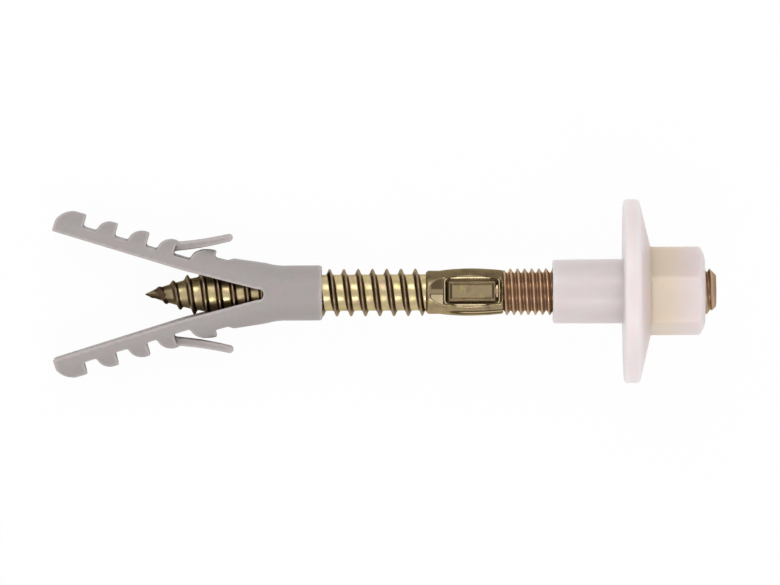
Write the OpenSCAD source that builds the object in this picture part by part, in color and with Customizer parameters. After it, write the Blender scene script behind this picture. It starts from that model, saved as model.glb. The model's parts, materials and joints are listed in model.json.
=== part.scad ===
// Washbasin fixing set: a hanger bolt driven into a split nylon wall plug, with a nylon collar nut
// on its machine thread. The set lies at rest on the flange's rim and the two spread legs of the plug.
//
// Along the bolt, x runs from its point towards the nut, y is the direction in which the legs spread
// and z points up. rest_pose() then lays the finished set on the plane z = 0.

/* [Hanger bolt] */
// Length of the wood thread, from the point to the plain shank
wood_length = 59.5; // [52:0.5:75]
// Outside diameter of the wood thread
wood_thread_d = 10; // [9:0.1:12]
// Diameter of the core under the wood thread
wood_core_d = 7.6; // [6.6:0.1:8.4]
// Advance of the wood thread in one turn
wood_pitch = 3; // [2.4:0.1:4.5]
// Length of the tapered point
point_length = 13; // [9:0.5:18]
// Length of the plain shank between the wood thread and the grip
shank_length = 2.5; // [2:0.1:8]
// Diameter of the plain shank
shank_d = 9.1; // [8.6:0.1:10]
// Length of the pressed spanner grip
grip_length = 13.2; // [11:0.2:20]
// Thickness of the grip across its two pressed flats
grip_flats = 7.8; // [7.2:0.1:8.6]
// Amount by which the pressing widens the grip
grip_bulge = 0.95; // [0.5:0.05:1.4]
// Depth of the panel sunk into each flat
panel_depth = 0.3; // [0.1:0.05:0.5]
// Width of the panel across the bolt
panel_width = 3.8; // [3:0.1:4.4]
// Length of the machine thread
machine_length = 44.8; // [40:0.2:60]
// Outside diameter of the machine thread
machine_thread_d = 9.8; // [9:0.1:12]
// Depth of the machine thread
machine_thread_depth = 0.9; // [0.6:0.05:1.1]
// Advance of the machine thread in one turn
machine_pitch = 1.5; // [1.25:0.05:2]
// Length of the chamfer on the machine thread's end
end_chamfer = 1.6; // [0.8:0.1:2.4]

/* [Collar nut] */
// Length of the bolt that stands out of the nut
bolt_projection = 2.35; // [0.5:0.05:10]
// Gap between the nut's bore and the machine thread, on the radius
nut_clearance = 0.15; // [0.1:0.05:0.3]
// Wall of the sleeve that centres the basin's hole
sleeve_wall = 1.65; // [1.2:0.05:3]
// Length of the sleeve
sleeve_length = 14.9; // [8:0.1:22]
// Diameter of the flange
flange_d = 38.7; // [32:0.1:50]
// Thickness of the flange at its rim
flange_thickness = 3.3; // [2.4:0.1:5]
// Rounding of the rim's two edges
rim_round = 0.9; // [0.3:0.1:1.1]
// Height of the cone between the rim and the hexagon
flange_cone = 2.2; // [1:0.1:4]
// Size of the hexagon across its flats
hex_flats = 17; // [15:0.5:24]
// Length of the hexagon
hex_length = 11.6; // [8:0.2:16]
// Rounding of the hexagon's six edges
hex_round = 1.4; // [0.4:0.1:2]
// Length of the turned chamfer on the hexagon's end
hex_chamfer = 1.1; // [0.4:0.1:2]
// Angle at which the nut happens to stand on its thread
nut_turn = 12; // [0:1:59]

/* [Expansion plug] */
// Distance that the bolt's point has been driven past the plug's mouth
drive_depth = 37.4; // [34:0.2:46]
// Gap between the plug's bore and the wood thread, on the radius
plug_clearance = 0.15; // [0.1:0.05:0.3]
// Wall of the plug round its bore
plug_wall = 0.65; // [0.5:0.05:1.5]
// Length of the unsplit tube, from the mouth to the end of the slot
tube_length = 12.6; // [11:0.2:18]
// Length of each leg, from the slot's round end to the tip
leg_length = 45.3; // [42:0.1:54]
// Width of the slot where it ends
slot_width = 2; // [1.2:0.1:2.4]
// Angle between a leg's root and the bolt
root_angle = 14.6; // [12:0.2:18]
// Angle between a leg's outer stretch and the bolt
tip_angle = 17.1; // [15:0.2:22]
// Distance of the leg's knee from the slot's round end
knee_at = 16.6; // [16.2:0.1:17.4]
// Radius of the bend that takes the tube into a leg
bend_radius = 21; // [14:0.5:24]
// Amount by which a leg's radius shrinks towards its tip
leg_taper = 0.5; // [0:0.05:1]
// Thickness of a leg at the notches between its teeth
notch_floor = 2.45; // [2.2:0.05:3.2]
// Number of plain teeth on a leg
tooth_count = 3; // [2:1:3]
// Distance from one plain tooth to the next
tooth_pitch = 6.9; // [6.4:0.1:7.1]
// Length of a plain tooth behind the first
tooth_length = 4; // [3.4:0.1:5]
// Length of the tooth at the leg's tip
tip_tooth_length = 6; // [5:0.1:6.4]
// Thickness of the leg's blunt tip
tip_thickness = 1.5; // [1.2:0.1:2.4]
// Distance from the tip to the face of the tooth that carries the locking tongue
tongue_tooth_at = 25.8; // [25.5:0.1:26.6]
// Length of the tooth that carries the locking tongue
tongue_tooth_length = 3.6; // [3:0.1:4.2]
// Distance from the tip to the face of the last tooth
last_tooth_at = 34.6; // [34:0.1:35.2]
// Length of the last tooth
last_tooth_length = 5; // [4.2:0.1:5.4]
// Thickness of the leg between the last tooth and the shoulder
shoulder_floor = 4; // [3.4:0.1:4.4]
// Distance from the last tooth to the shoulder
shoulder_gap = 3.1; // [2.2:0.1:3.8]
// Length over which the shoulder rises from that floor
shoulder_length = 1.6; // [1:0.1:2.4]
// Thickness of the leg at the shoulder, from which it widens to the full round
shoulder_thickness = 4.8; // [4.5:0.1:5.4]
// Length of a locking tongue
tongue_length = 12.2; // [10:0.2:13]
// Thickness of a tongue at its root
tongue_root = 1.8; // [1.5:0.1:2.4]
// Thickness of a tongue at its end
tongue_end = 1.5; // [1.2:0.1:1.8]
// Width of a tongue
tongue_width = 4.4; // [3:0.2:5]
// Angle between a tongue's root and the bolt
tongue_root_angle = 4.3; // [2:0.1:8]
// Angle by which a tongue curls outwards along its length
tongue_curl = 10; // [4:1:14]
// Radius of the screw channel along the inside of a leg
channel_r = 1.5; // [0.8:0.1:1.8]

/* [Hidden] */
$fn = 64;
steel_colour = "#b39a4e";
plug_colour = "#a59d9b";
nut_colour = "#efe6e2";
past = 1;        // how far a cutting shape runs past what it cuts
curve_steps = 8; // straight pieces in a drawn curve

// Stations along the bolt, measured from its point
shank_start = wood_length;
grip_start = shank_start + shank_length;
machine_start = grip_start + grip_length;
bolt_length = machine_start + machine_length;
mouth = drive_depth;
slot_end = mouth - tube_length;
nut_end = bolt_length - bolt_projection;
hex_start = nut_end - hex_length;
seat = hex_start - flange_cone - flange_thickness;
sleeve_end = seat - sleeve_length;

// Hanger bolt
thread_steps = 24;                  // facets in one turn of a thread
point_r = 0.3;                      // radius of the blunted point
wood_runout = 2.4;                  // length over which the wood thread dies away
wood_fin_start = 11.5;              // distance from the point at which the fin has its full height
wood_profile = [[-0.17, 0], [-0.05, 1], [0.05, 1], [0.17, 0]];
wood_turn = 90;                     // angle of the thread's start about the bolt
machine_profile = [[0, 0], [0.5, 1]];
hidden_r = 2.5;                     // radius of a threaded rod's end where another piece of the bolt holds it
shank_chamfer = 0.5;
press_length = 2;                   // length of the sloping end of each pressed flat
panel_margin = 0.6;                 // width of the raised frame round a panel
panel_corner = 0.9;

// Collar nut
nut_bore_r = machine_thread_d / 2 + nut_clearance;
sleeve_r = nut_bore_r + sleeve_wall;
sleeve_edge = 0.5;
sleeve_fillet = 0.4;                // rounding between the sleeve and the flange that the basin bears on
bore_edge = 0.5;
hex_corner_r = (hex_flats / 2 - hex_round) / cos(30) + hex_round;
hex_face_r = hex_flats / 2 * 0.78;  // radius of the flat end face inside the chamfer
cone_top_r = hex_corner_r + 0.4;    // radius of the flat ring round the hexagon's foot

// Expansion plug
bore_r = wood_thread_d / 2 + plug_clearance;
plug_r = bore_r + plug_wall;
mouth_chamfer = 0.5;
slot_half = slot_width / 2;
slot_centre = slot_end - slot_half; // middle of the slot's round end
relief = 0.1;                       // amount by which one surface stands clear of another that it would touch
seam = 0.03;                        // step where one stretch of a leg runs into the next
split_offset = 0.2;                 // height of a leg's inner face above the middle of its round
leg_root = [slot_centre + slot_half * sin(root_angle), slot_half * cos(root_angle)];
knee = leg_root + knee_at * [-cos(root_angle), sin(root_angle)];
outer_length = leg_length - knee_at;
leg_tip = knee + outer_length * [-cos(tip_angle), sin(tip_angle)];
tip_r = plug_r - leg_taper;
leg_crest = plug_r - split_offset;  // height of a full-height tooth above the inner face
channel_reach = 8;                  // how far the screw channel runs past the knee, into the bore
bend_overlap = 1;                   // angle by which the bend runs into the tube and into the leg
knee_overlap = 0.4;                 // length by which the outer stretch runs into the root

// The middle line of a leg leaves the bolt's axis at a corner, which the bend rounds off.
corner = slot_centre + (slot_half - split_offset) / sin(root_angle);
bend_tangent = bend_radius * tan(root_angle / 2);
bend_start = corner + bend_tangent;
root_length = knee_at + (slot_half - split_offset) / tan(root_angle) - bend_tangent;

// A tongue leaves the middle of its tooth's face and curls outwards along an arc.
tongue_sunk = 0.6;                  // length of the tongue inside its tooth
tongue_crown = 0.15;                // height of the plug's round above the tongue's back
tongue_depth = 1.45;                // distance from its tooth's crest to the middle of the tongue's root
tongue_height = leg_crest - tongue_depth;
tongue_start = knee + (tongue_tooth_at - outer_length) * [cos(tip_angle), -sin(tip_angle)]
    + tongue_height * [sin(tip_angle), cos(tip_angle)];
tongue_radius = tongue_length / (tongue_curl * PI / 180);

// Pose at rest: the flange's rim and both leg tips touch the plane z = 0.
rim_run = seat + rim_round - leg_tip[0];
rim_rise = flange_d / 2 - rim_round - tip_r;
rest_tilt = atan(rim_rise / rim_run) + asin(rim_round / norm([rim_run, rim_rise]));
rest_height = tip_r * cos(rest_tilt) - leg_tip[0] * sin(rest_tilt);
rest_left = leg_tip[0] * cos(rest_tilt) - tip_r * sin(rest_tilt);
rest_right = bolt_length * cos(rest_tilt) + (machine_thread_d / 2 - end_chamfer) * sin(rest_tilt);

module rest_pose() {
    translate([-(rest_left + rest_right) / 2, 0, rest_height])
        rotate([0, -rest_tilt, 0])
            children();
}

// Turns a shape drawn along z into one along the bolt.
module along_bolt(from = 0) {
    translate([from, 0, 0]) rotate([0, 90, 0]) children();
}

// ---- Threads ----

// Number of a thread corner: step i round the helix, profile point j. The profile's end is its start one turn on.
function corner_number(i, j, last, points) =
    j == points ? corner_number(i + thread_steps, 0, last, points)
    : i <= last ? i * points + j
    : (last + 1) * points + i - last - 1;

// Corners of a threaded rod. radius_at gives the radius at a station, for a height of 0 (root) to 1 (crest).
function thread_corners(start, last, pitch, profile, radius_at) = [
    for (i = [0 : last + thread_steps], j = [0 : len(profile) - 1])
        if (i <= last || j == 0)
            let (x = start + pitch * (i / thread_steps + profile[j][0]),
                 a = 360 * i / thread_steps,
                 r = radius_at(x, profile[j][1]))
                [x, r * cos(a), r * sin(a)]
];

// Faces between neighbouring corners, each a pair of triangles.
function thread_faces(last, points) = [
    for (i = [0 : last - 1], j = [0 : points - 1])
        let (a = corner_number(i, j, last, points), b = corner_number(i, j + 1, last, points),
             c = corner_number(i + 1, j + 1, last, points), d = corner_number(i + 1, j, last, points))
            each [[a, b, c], [a, c, d]]
];

// The two end caps, each a fan from a point on the axis.
function thread_caps(last, points, tip, tail) = [
    for (i = [0 : thread_steps - 1]) each [
        [tip, corner_number(i, 0, last, points), corner_number(i + 1, 0, last, points)],
        [tail, corner_number(last + i + 1, 0, last, points), corner_number(last + i, 0, last, points)]],
    for (j = [0 : points - 1]) each [
        [tip, corner_number(0, j + 1, last, points), corner_number(0, j, last, points)],
        [tail, corner_number(last, j, last, points), corner_number(last, j + 1, last, points)]]
];

// A right-hand threaded rod as one closed solid, from a point at tip_x to a cap at tail_x.
module threaded_rod(start, end, pitch, profile, tip_x, tail_x, radius_at) {
    last = thread_steps * ceil((end - start) / pitch);
    points = len(profile);
    corners = thread_corners(start, last, pitch, profile, radius_at);
    polyhedron(
        points = [each corners, [tip_x, 0, 0], [tail_x, 0, 0]],
        faces = [each thread_faces(last, points),
                 each thread_caps(last, points, len(corners), len(corners) + 1)]);
}

// ---- Hanger bolt ----

function wood_radius(x, height) =
    let (taper = min(1, x / point_length),
         core = point_r + (wood_core_d / 2 - point_r) * (taper + sin(90 * taper)) / 2,
         growth = min(1, x / wood_fin_start),
         fade = max(0, min(1, (wood_length - x) / wood_runout)))
    x > wood_length + shank_chamfer ? hidden_r
    : core + height * (wood_thread_d - wood_core_d) / 2 * growth * fade;

function machine_radius(x, height) =
    let (crest = machine_thread_d / 2 - (1 - height) * machine_thread_depth,
         cone = machine_thread_d / 2 + bolt_length - end_chamfer - x)
    x < machine_start ? hidden_r : min(crest, cone);

module wood_thread() {
    start = -wood_profile[0][0] * wood_pitch + 0.05;
    end = wood_length + 2 * shank_chamfer;
    color(steel_colour)
        rotate([wood_turn, 0, 0])
            threaded_rod(start, end, wood_pitch, wood_profile, 0, end + wood_pitch,
                         function (x, height) wood_radius(x, height));
}

// The rod runs past the bolt's end and is cut off square there.
module machine_thread() {
    color(steel_colour)
        intersection() {
            threaded_rod(machine_start - 2 * machine_pitch, bolt_length + machine_pitch, machine_pitch,
                         machine_profile, machine_start - 2 * machine_pitch - past, bolt_length + 4 * machine_pitch,
                         function (x, height) machine_radius(x, height));
            along_bolt(machine_start - 3 * machine_pitch)
                cylinder(r = machine_thread_d, h = machine_length + 3 * machine_pitch);
        }
}

// Half outline of the shank and the barrel-shaped grip: [station, radius].
function grip_outline() = [
    [shank_start - shank_chamfer, 0],
    [shank_start - shank_chamfer, shank_d / 2 - shank_chamfer],
    [shank_start, shank_d / 2],
    for (i = [0 : curve_steps])
        let (q = i / curve_steps)
            [grip_start + q * grip_length, shank_d / 2 + grip_bulge / 2 * sin(180 * q) ^ 0.8 * (1 - 0.2 * q)],
    [machine_start, 0]
];

// What the pressing takes away above one flat.
module pressed_away() {
    rotate([90, 0, 0])
        linear_extrude(height = 2 * shank_d, center = true)
            polygon([
                [grip_start - press_length / 2, shank_d],
                [grip_start - press_length / 2, shank_d / 2 + past / 5],
                [grip_start + press_length / 2, grip_flats / 2],
                [machine_start - press_length / 4, grip_flats / 2],
                [machine_start + past / 5, shank_d / 2 + past],
                [machine_start + past / 5, shank_d]
            ]);
}

module rounded_rectangle(length, width, corner_r) {
    square([length - 2 * corner_r, width], center = true);
    square([length, width - 2 * corner_r], center = true);
    for (x = [-1, 1], y = [-1, 1])
        translate([x * (length / 2 - corner_r), y * (width / 2 - corner_r)]) circle(r = corner_r);
}

module panel() {
    flat_start = grip_start + press_length / 2;
    flat_end = machine_start - press_length / 4;
    translate([(flat_start + flat_end) / 2, 0, grip_flats / 2 - panel_depth])
        linear_extrude(height = past)
            rounded_rectangle(flat_end - flat_start - 2 * panel_margin, panel_width, panel_corner);
}

module shank_and_grip() {
    color(steel_colour)
        difference() {
            along_bolt()
                rotate_extrude()
                    polygon([for (p = grip_outline()) [p[1], p[0]]]);
            for (side = [0, 1]) mirror([0, 0, side]) {
                pressed_away();
                panel();
            }
        }
}

module hanger_bolt() {
    rest_pose() {
        wood_thread();
        shank_and_grip();
        machine_thread();
    }
}

// ---- Collar nut ----

module rounded_hexagon() {
    offset(r = hex_round)
        circle(r = hex_flats / 2 / cos(30) - hex_round / cos(30), $fn = 6);
}

module collar_sleeve_and_flange() {
    rim = flange_d / 2;
    back = seat + flange_thickness;
    color(nut_colour)
        along_bolt()
            rotate_extrude() {
                difference() {
                    polygon([
                        [0, sleeve_end],
                        [sleeve_r - sleeve_edge, sleeve_end],
                        [sleeve_r, sleeve_end + sleeve_edge],
                        [sleeve_r, seat - sleeve_fillet],
                        [sleeve_r + sleeve_fillet, seat],
                        [rim - rim_round, seat],
                        [rim, seat + rim_round],
                        [rim, back - rim_round],
                        [rim - rim_round, back],
                        [cone_top_r, back + flange_cone],
                        [0, back + flange_cone]
                    ]);
                    translate([sleeve_r + sleeve_fillet, seat - sleeve_fillet]) circle(r = sleeve_fillet);
                }
                for (x = [seat + rim_round, back - rim_round])
                    translate([rim - rim_round, x]) circle(r = rim_round);
            }
}

module collar_hexagon() {
    reach = hex_corner_r + past;
    color(nut_colour)
        intersection() {
            along_bolt(hex_start - flange_cone)
                linear_extrude(height = hex_length + flange_cone)
                    rotate(30 + nut_turn) rounded_hexagon();
            along_bolt()
                rotate_extrude()
                    polygon([
                        [0, seat],
                        [reach, seat],
                        [reach, nut_end - hex_chamfer * (reach - hex_face_r) / (hex_corner_r - hex_face_r)],
                        [hex_face_r, nut_end],
                        [0, nut_end]
                    ]);
        }
}

module nut_bore() {
    color(nut_colour)
        along_bolt()
            rotate_extrude()
                polygon([
                    [0, sleeve_end - past],
                    [nut_bore_r + bore_edge + past, sleeve_end - past],
                    [nut_bore_r, sleeve_end + bore_edge],
                    [nut_bore_r, nut_end - bore_edge],
                    [nut_bore_r + bore_edge + past, nut_end + past],
                    [0, nut_end + past]
                ]);
}

module collar_nut() {
    rest_pose()
        difference() {
            union() {
                collar_sleeve_and_flange();
                collar_hexagon();
            }
            nut_bore();
        }
}

// ---- Expansion plug ----

// Outline of a tooth: a square face towards the mouth and a quarter-ellipse back that falls to the notch floor
// towards the tip. Along a leg, x runs from the tip to the mouth and y is the height above the inner face.
function tooth_outline(face, length, floor_height, crest) = [
    [face, 0],
    for (i = [0 : curve_steps])
        let (a = 90 - 90 * i / curve_steps)
            [face - length * cos(a), floor_height + (crest - floor_height) * sin(a)],
    [face - length, 0]
];

// Turns children, drawn with x along a leg and y outwards from its inner face, to their place at the knee.
module at_knee(angle) {
    translate([knee[0], knee[1], 0]) rotate([0, 0, -angle]) children();
}

// A stretch of leg between two stations along it: its side outline, cut to the round of the plug.
module leg_stretch(from, to, from_r, to_r) {
    intersection() {
        linear_extrude(height = 2 * plug_r + past, center = true) children();
        translate([from, -split_offset, 0])
            rotate([0, 90, 0]) cylinder(r1 = from_r, r2 = to_r, h = to - from);
    }
}

// The outlines of both stretches reach below the inner face, where split_side() cuts them.
module outer_leg_outline() {
    translate([-outer_length, 0]) {
        translate([0, -plug_r]) square([outer_length + past, plug_r + tip_thickness]);
        square([outer_length + past, notch_floor]);
        polygon(tooth_outline(tip_tooth_length, tip_tooth_length, tip_thickness, leg_crest));
        for (i = [1 : tooth_count - 1])
            polygon(tooth_outline(tip_tooth_length + i * tooth_pitch, tooth_length, notch_floor, leg_crest));
        polygon(tooth_outline(tongue_tooth_at, tongue_tooth_length, notch_floor, leg_crest));
    }
}

module root_leg_outline() {
    last_face = last_tooth_at - outer_length;
    shoulder_top = last_face + shoulder_gap + shoulder_length;
    translate([0, -plug_r]) square([root_length + past, plug_r + notch_floor]);
    translate([last_face, 0]) square([root_length + past - last_face, shoulder_floor]);
    polygon(tooth_outline(last_face, last_tooth_length, notch_floor, leg_crest));
    polygon(tooth_outline(shoulder_top, shoulder_length, shoulder_floor, shoulder_thickness));
    polygon([
        [shoulder_top, 0],
        [shoulder_top, shoulder_thickness],
        [root_length + past, leg_crest + relief],
        [root_length + past, 0]
    ]);
}

module plug_tube() {
    along_bolt()
        rotate_extrude()
            polygon([
                [0, bend_start],
                [plug_r, bend_start],
                [plug_r, mouth - mouth_chamfer],
                [plug_r - mouth_chamfer, mouth],
                [0, mouth]
            ]);
}

// The bend starts a little way inside the tube and ends inside the leg's root.
module plug_bend() {
    translate([bend_start, bend_radius, 0])
        rotate([0, 0, -90 - root_angle - bend_overlap])
            rotate_extrude(angle = root_angle + 2 * bend_overlap)
                translate([bend_radius, 0]) circle(r = plug_r - seam);
}

// One side of the split: above the middle plane as far as the slot, then above the leg's inner face.
module split_side() {
    beyond = leg_tip + past * [-cos(tip_angle), sin(tip_angle)];
    linear_extrude(height = 2 * plug_r + past, center = true)
        polygon([
            [bend_start + past, 0], [slot_centre, 0], leg_root, knee, beyond,
            beyond + 2 * plug_r * [0, 1], [bend_start + past, leg_tip[1] + 2 * plug_r]
        ]);
}

// A point of the tongue at distance s from its tooth, on its middle line (side 0) or its outer or inner edge (1, -1).
function tongue_point(s, side) =
    let (a = tongue_root_angle + tongue_curl * s / tongue_length,
         half = (tongue_root + (tongue_end - tongue_root) * s / tongue_length) / 2)
    tongue_start
    + tongue_radius * [sin(a) - sin(tongue_root_angle), cos(tongue_root_angle) - cos(a)]
    + side * half * [-sin(a), cos(a)];

module locking_tongue() {
    reach = tongue_length - tongue_end / 2;
    run = [for (i = [0 : curve_steps]) -tongue_sunk + (reach + tongue_sunk) * i / curve_steps];
    outer_edge = [for (s = run) tongue_point(s, 1)];
    inner_edge = [for (i = [len(run) - 1 : -1 : 0]) tongue_point(run[i], -1)];
    chord = outer_edge[len(run) - 1] - outer_edge[0];
    slope = atan2(chord[1], chord[0]);
    back = outer_edge[0] - (plug_r - tongue_crown) * [-sin(slope), cos(slope)];
    intersection() {
        linear_extrude(height = tongue_width, center = true) {
            polygon([each outer_edge, each inner_edge]);
            translate(tongue_point(reach, 0)) circle(r = norm(tongue_point(reach, 1) - tongue_point(reach, 0)));
        }
        translate([back[0], back[1], 0])
            rotate([0, 0, slope]) rotate([0, 90, 0])
                translate([0, 0, -past]) cylinder(r = plug_r, h = norm(chord) + past + tongue_end);
    }
}

module plug_half() {
    difference() {
        union() {
            intersection() {
                union() {
                    plug_bend();
                    at_knee(root_angle) leg_stretch(0, root_length, plug_r, plug_r) root_leg_outline();
                    at_knee(tip_angle)
                        leg_stretch(-outer_length, knee_overlap, tip_r, plug_r - seam) outer_leg_outline();
                }
                split_side();
            }
            locking_tongue();
        }
        translate([slot_centre, 0, 0]) cylinder(r = slot_half + relief, h = 2 * plug_r + past, center = true);
        at_knee(tip_angle)
            translate([-outer_length - past, 0, 0])
                rotate([0, 90, 0]) cylinder(r = channel_r, h = outer_length + past);
        at_knee(root_angle) rotate([0, 90, 0]) cylinder(r = channel_r, h = channel_reach);
    }
}

module plug_bore() {
    along_bolt()
        rotate_extrude()
            polygon([
                [0, 0],
                [bore_r, 0],
                [bore_r, mouth - plug_wall / 2],
                [bore_r + plug_wall / 2 + past, mouth + past],
                [0, mouth + past]
            ]);
}

module expansion_plug() {
    rest_pose()
        color(plug_colour)
            difference() {
                union() {
                    plug_tube();
                    plug_half();
                    mirror([0, 1, 0]) plug_half();
                }
                plug_bore();
            }
}

hanger_bolt();
expansion_plug();
collar_nut();
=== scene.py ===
"""Washbasin fixing bolt: yellow-passivated hanger bolt, grey nylon expansion plug and milky collar nut.

Every piece is drawn in bolt millimetres: u runs along the bolt from its point towards the nut, v is the
direction in which the plug's legs spread and w is up. BoltAxis then lays the piece where the frame has it.

Each mesh carries a "relief" at its corners, which the finishes turn into colour. On the bolt 0 is plain, low
values are flanks and 1 is a crest; there the colours paint shade and highlights. On the plug 0.5 is flat,
less is an inner corner, painted darker as shade, and more an outer edge, painted lighter as a highlight. On
the nut 0 is thick and creamy, 0.5 is milky and 1 is thin.
"""

from __future__ import annotations

import json
import logging
import math
from dataclasses import dataclass, field
from functools import partial
from typing import Callable, Iterable, Sequence

import bmesh
import bpy
from mathutils import Matrix, Vector

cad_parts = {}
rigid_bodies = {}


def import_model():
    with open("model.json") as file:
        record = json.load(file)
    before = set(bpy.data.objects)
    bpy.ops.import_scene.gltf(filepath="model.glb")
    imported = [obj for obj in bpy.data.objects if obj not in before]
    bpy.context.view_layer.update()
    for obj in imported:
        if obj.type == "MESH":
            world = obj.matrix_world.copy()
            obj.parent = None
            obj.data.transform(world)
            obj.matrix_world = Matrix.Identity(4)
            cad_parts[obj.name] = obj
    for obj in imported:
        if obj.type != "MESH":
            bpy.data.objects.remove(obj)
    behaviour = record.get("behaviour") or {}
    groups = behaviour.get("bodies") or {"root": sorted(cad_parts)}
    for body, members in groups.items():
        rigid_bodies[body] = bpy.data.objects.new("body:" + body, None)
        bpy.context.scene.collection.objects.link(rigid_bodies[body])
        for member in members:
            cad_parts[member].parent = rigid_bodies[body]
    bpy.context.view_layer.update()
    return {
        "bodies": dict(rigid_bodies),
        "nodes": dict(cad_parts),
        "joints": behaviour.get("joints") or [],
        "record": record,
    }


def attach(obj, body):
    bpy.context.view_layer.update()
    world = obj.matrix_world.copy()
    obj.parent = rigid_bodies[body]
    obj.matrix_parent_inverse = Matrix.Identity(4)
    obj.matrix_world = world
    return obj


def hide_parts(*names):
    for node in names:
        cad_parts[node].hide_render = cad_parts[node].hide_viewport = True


LOG = logging.getLogger("fixing_bolt")
MM = 0.001
RELIEF = "relief"
OPAQUE = 1.0

Pair = tuple[float, float]
Corner = tuple[float, float, float]
Colour = tuple[float, float, float]
Ring = Callable[[float], Pair]
Socket = bpy.types.NodeSocket


# ---- Small shape helpers ----


def clamp(value: float) -> float:
    """The value, kept between 0 and 1."""
    return min(1.0, max(0.0, value))


def mix(a: float, b: float, share: float) -> float:
    """The value that lies the given share of the way from a to b."""
    return a + (b - a) * share


def ease(low: float, high: float, value: float) -> float:
    """A smooth step from 0 at low to 1 at high."""
    share = clamp((value - low) / (high - low))
    return share * share * (3 - 2 * share)


def bell(offset: float, width: float) -> float:
    """A soft peak that is 1 at no offset and fades over the width."""
    return math.exp(-((offset / width) ** 2))


def soft_min(a: float, b: float, blend: float) -> float:
    """The lower of two heights, rounded where they come closer than the blend distance."""
    gap = max(0.0, blend - abs(a - b)) / blend
    return min(a, b) - gap * gap * blend / 4


def rounded_path(points: Sequence[Pair], radii: Sequence[float], steps: int = 4) -> list[Pair]:
    """A polyline whose corners are replaced by arcs.

    Args:
        points: Corners of the path.
        radii: Rounding of each corner; 0 keeps it sharp.
        steps: Straight pieces in an arc.

    Returns:
        The points of the rounded path.
    """
    longest = 0.49  # of a side, so that the arcs at its two ends never meet
    out: list[Pair] = []
    for k, point in enumerate(points):
        here = Vector(point)
        if radii[k] <= 0 or k in (0, len(points) - 1):
            out.append((here.x, here.y))
            continue
        back = Vector(points[k - 1]) - here
        ahead = Vector(points[k + 1]) - here
        half = back.angle(ahead) / 2
        reach = min(radii[k] / math.tan(half), longest * back.length, longest * ahead.length)
        start = here + back.normalized() * reach
        end = here + ahead.normalized() * reach
        for i in range(steps + 1):
            t = i / steps
            spot = start * (1 - t) ** 2 + here * 2 * t * (1 - t) + end * t**2
            out.append((spot.x, spot.y))
    return out


@dataclass(frozen=True)
class BoltAxis:
    """Where the bolt lies: turns bolt millimetres into metres of the frame."""

    place: Matrix

    @classmethod
    def from_joint(cls, joints: Iterable[dict], mouth: float) -> BoltAxis:
        """Reads the place from the joint about which the bolt turns.

        Args:
            joints: The frame's joints.
            mouth: Station of the plug's mouth, where that joint sits.

        Returns:
            The bolt's place.
        """
        turn = next(j for j in joints if j["name"] == "bolt_turn")
        along = Vector(turn["axis"]).normalized()
        across = Vector((0, 1, 0))
        up = along.cross(across)
        turned = Matrix((along, across, up)).transposed().to_4x4()
        point = Vector(turn["pos_m"]) - along * mouth * MM
        return cls(Matrix.Translation(point) @ turned @ Matrix.Scale(MM, 4))

    def spot(self, corner: Sequence[float]) -> Vector:
        """A point of the bolt, in metres of the frame."""
        return self.place @ Vector(corner)


@dataclass
class Skin:
    """A surface while it is drawn: its corners in bolt millimetres, their relief and its faces.

    Corners that lie closer than the merge distance become one.
    """

    corners: list[Corner] = field(default_factory=list)
    relief: list[float] = field(default_factory=list)
    faces: list[tuple[int, ...]] = field(default_factory=list)
    merge: float = 1e-4

    def polar(self, u: float, r: float, angle: float, relief: float) -> int:
        """Adds one corner.

        Args:
            u: Its station along the bolt.
            r: Its distance from the axis.
            angle: Its angle about the bolt, in radians.
            relief: Its relief.

        Returns:
            The corner's number.
        """
        self.corners.append((u, r * math.cos(angle), r * math.sin(angle)))
        self.relief.append(relief)
        return len(self.corners) - 1

    def grid(self, rows: Sequence[Sequence[int]]) -> None:
        """Joins rows of corners, with as many in each row, with four-sided faces."""
        for low, high in zip(rows, rows[1:]):
            self.faces.extend(zip(low, low[1:], high[1:], high))

    def fan(self, hub: int, rim: Sequence[int]) -> None:
        """Joins a rim of corners to one hub with triangles."""
        for a, b in zip(rim, rim[1:]):
            self.faces.append((hub, a, b))

    def build(self, name: str, axis: BoltAxis, finish: bpy.types.Material, crease: float) -> bpy.types.Object:
        """Makes the object, with doubled corners merged and faces turned outwards.

        Args:
            name: Name of the piece.
            axis: Where the bolt lies.
            finish: Material of the whole piece.
            crease: Angle in degrees over which an edge looks sharp.

        Returns:
            The new object, linked to the scene.
        """
        mesh = bpy.data.meshes.new(name)
        mesh.from_pydata([axis.spot(c) for c in self.corners], [], self.faces)
        layer = mesh.attributes.new(RELIEF, "FLOAT", "POINT")
        layer.data.foreach_set("value", self.relief)
        soup = bmesh.new()
        soup.from_mesh(mesh)
        bmesh.ops.remove_doubles(soup, verts=soup.verts, dist=self.merge * MM)
        bmesh.ops.recalc_face_normals(soup, faces=soup.faces)
        soup.to_mesh(mesh)
        soup.free()
        mesh.shade_smooth()
        mesh.set_sharp_from_angle(angle=math.radians(crease))
        mesh.materials.append(finish)
        piece = bpy.data.objects.new(name, mesh)
        bpy.context.scene.collection.objects.link(piece)
        return piece


# ---- Shader groups ----


@dataclass(frozen=True)
class Noise:
    """A noise: its grains in a millimetre, its finer layers and how much finer it is along each axis."""

    scale: float
    detail: float
    stretch: Corner = (1.0, 1.0, 1.0)


@dataclass(frozen=True)
class Cloud:
    """A clouding colour: its input on the group, its noise and the range over which it fades in."""

    shade: str
    noise: Noise
    fade: Pair


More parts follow.
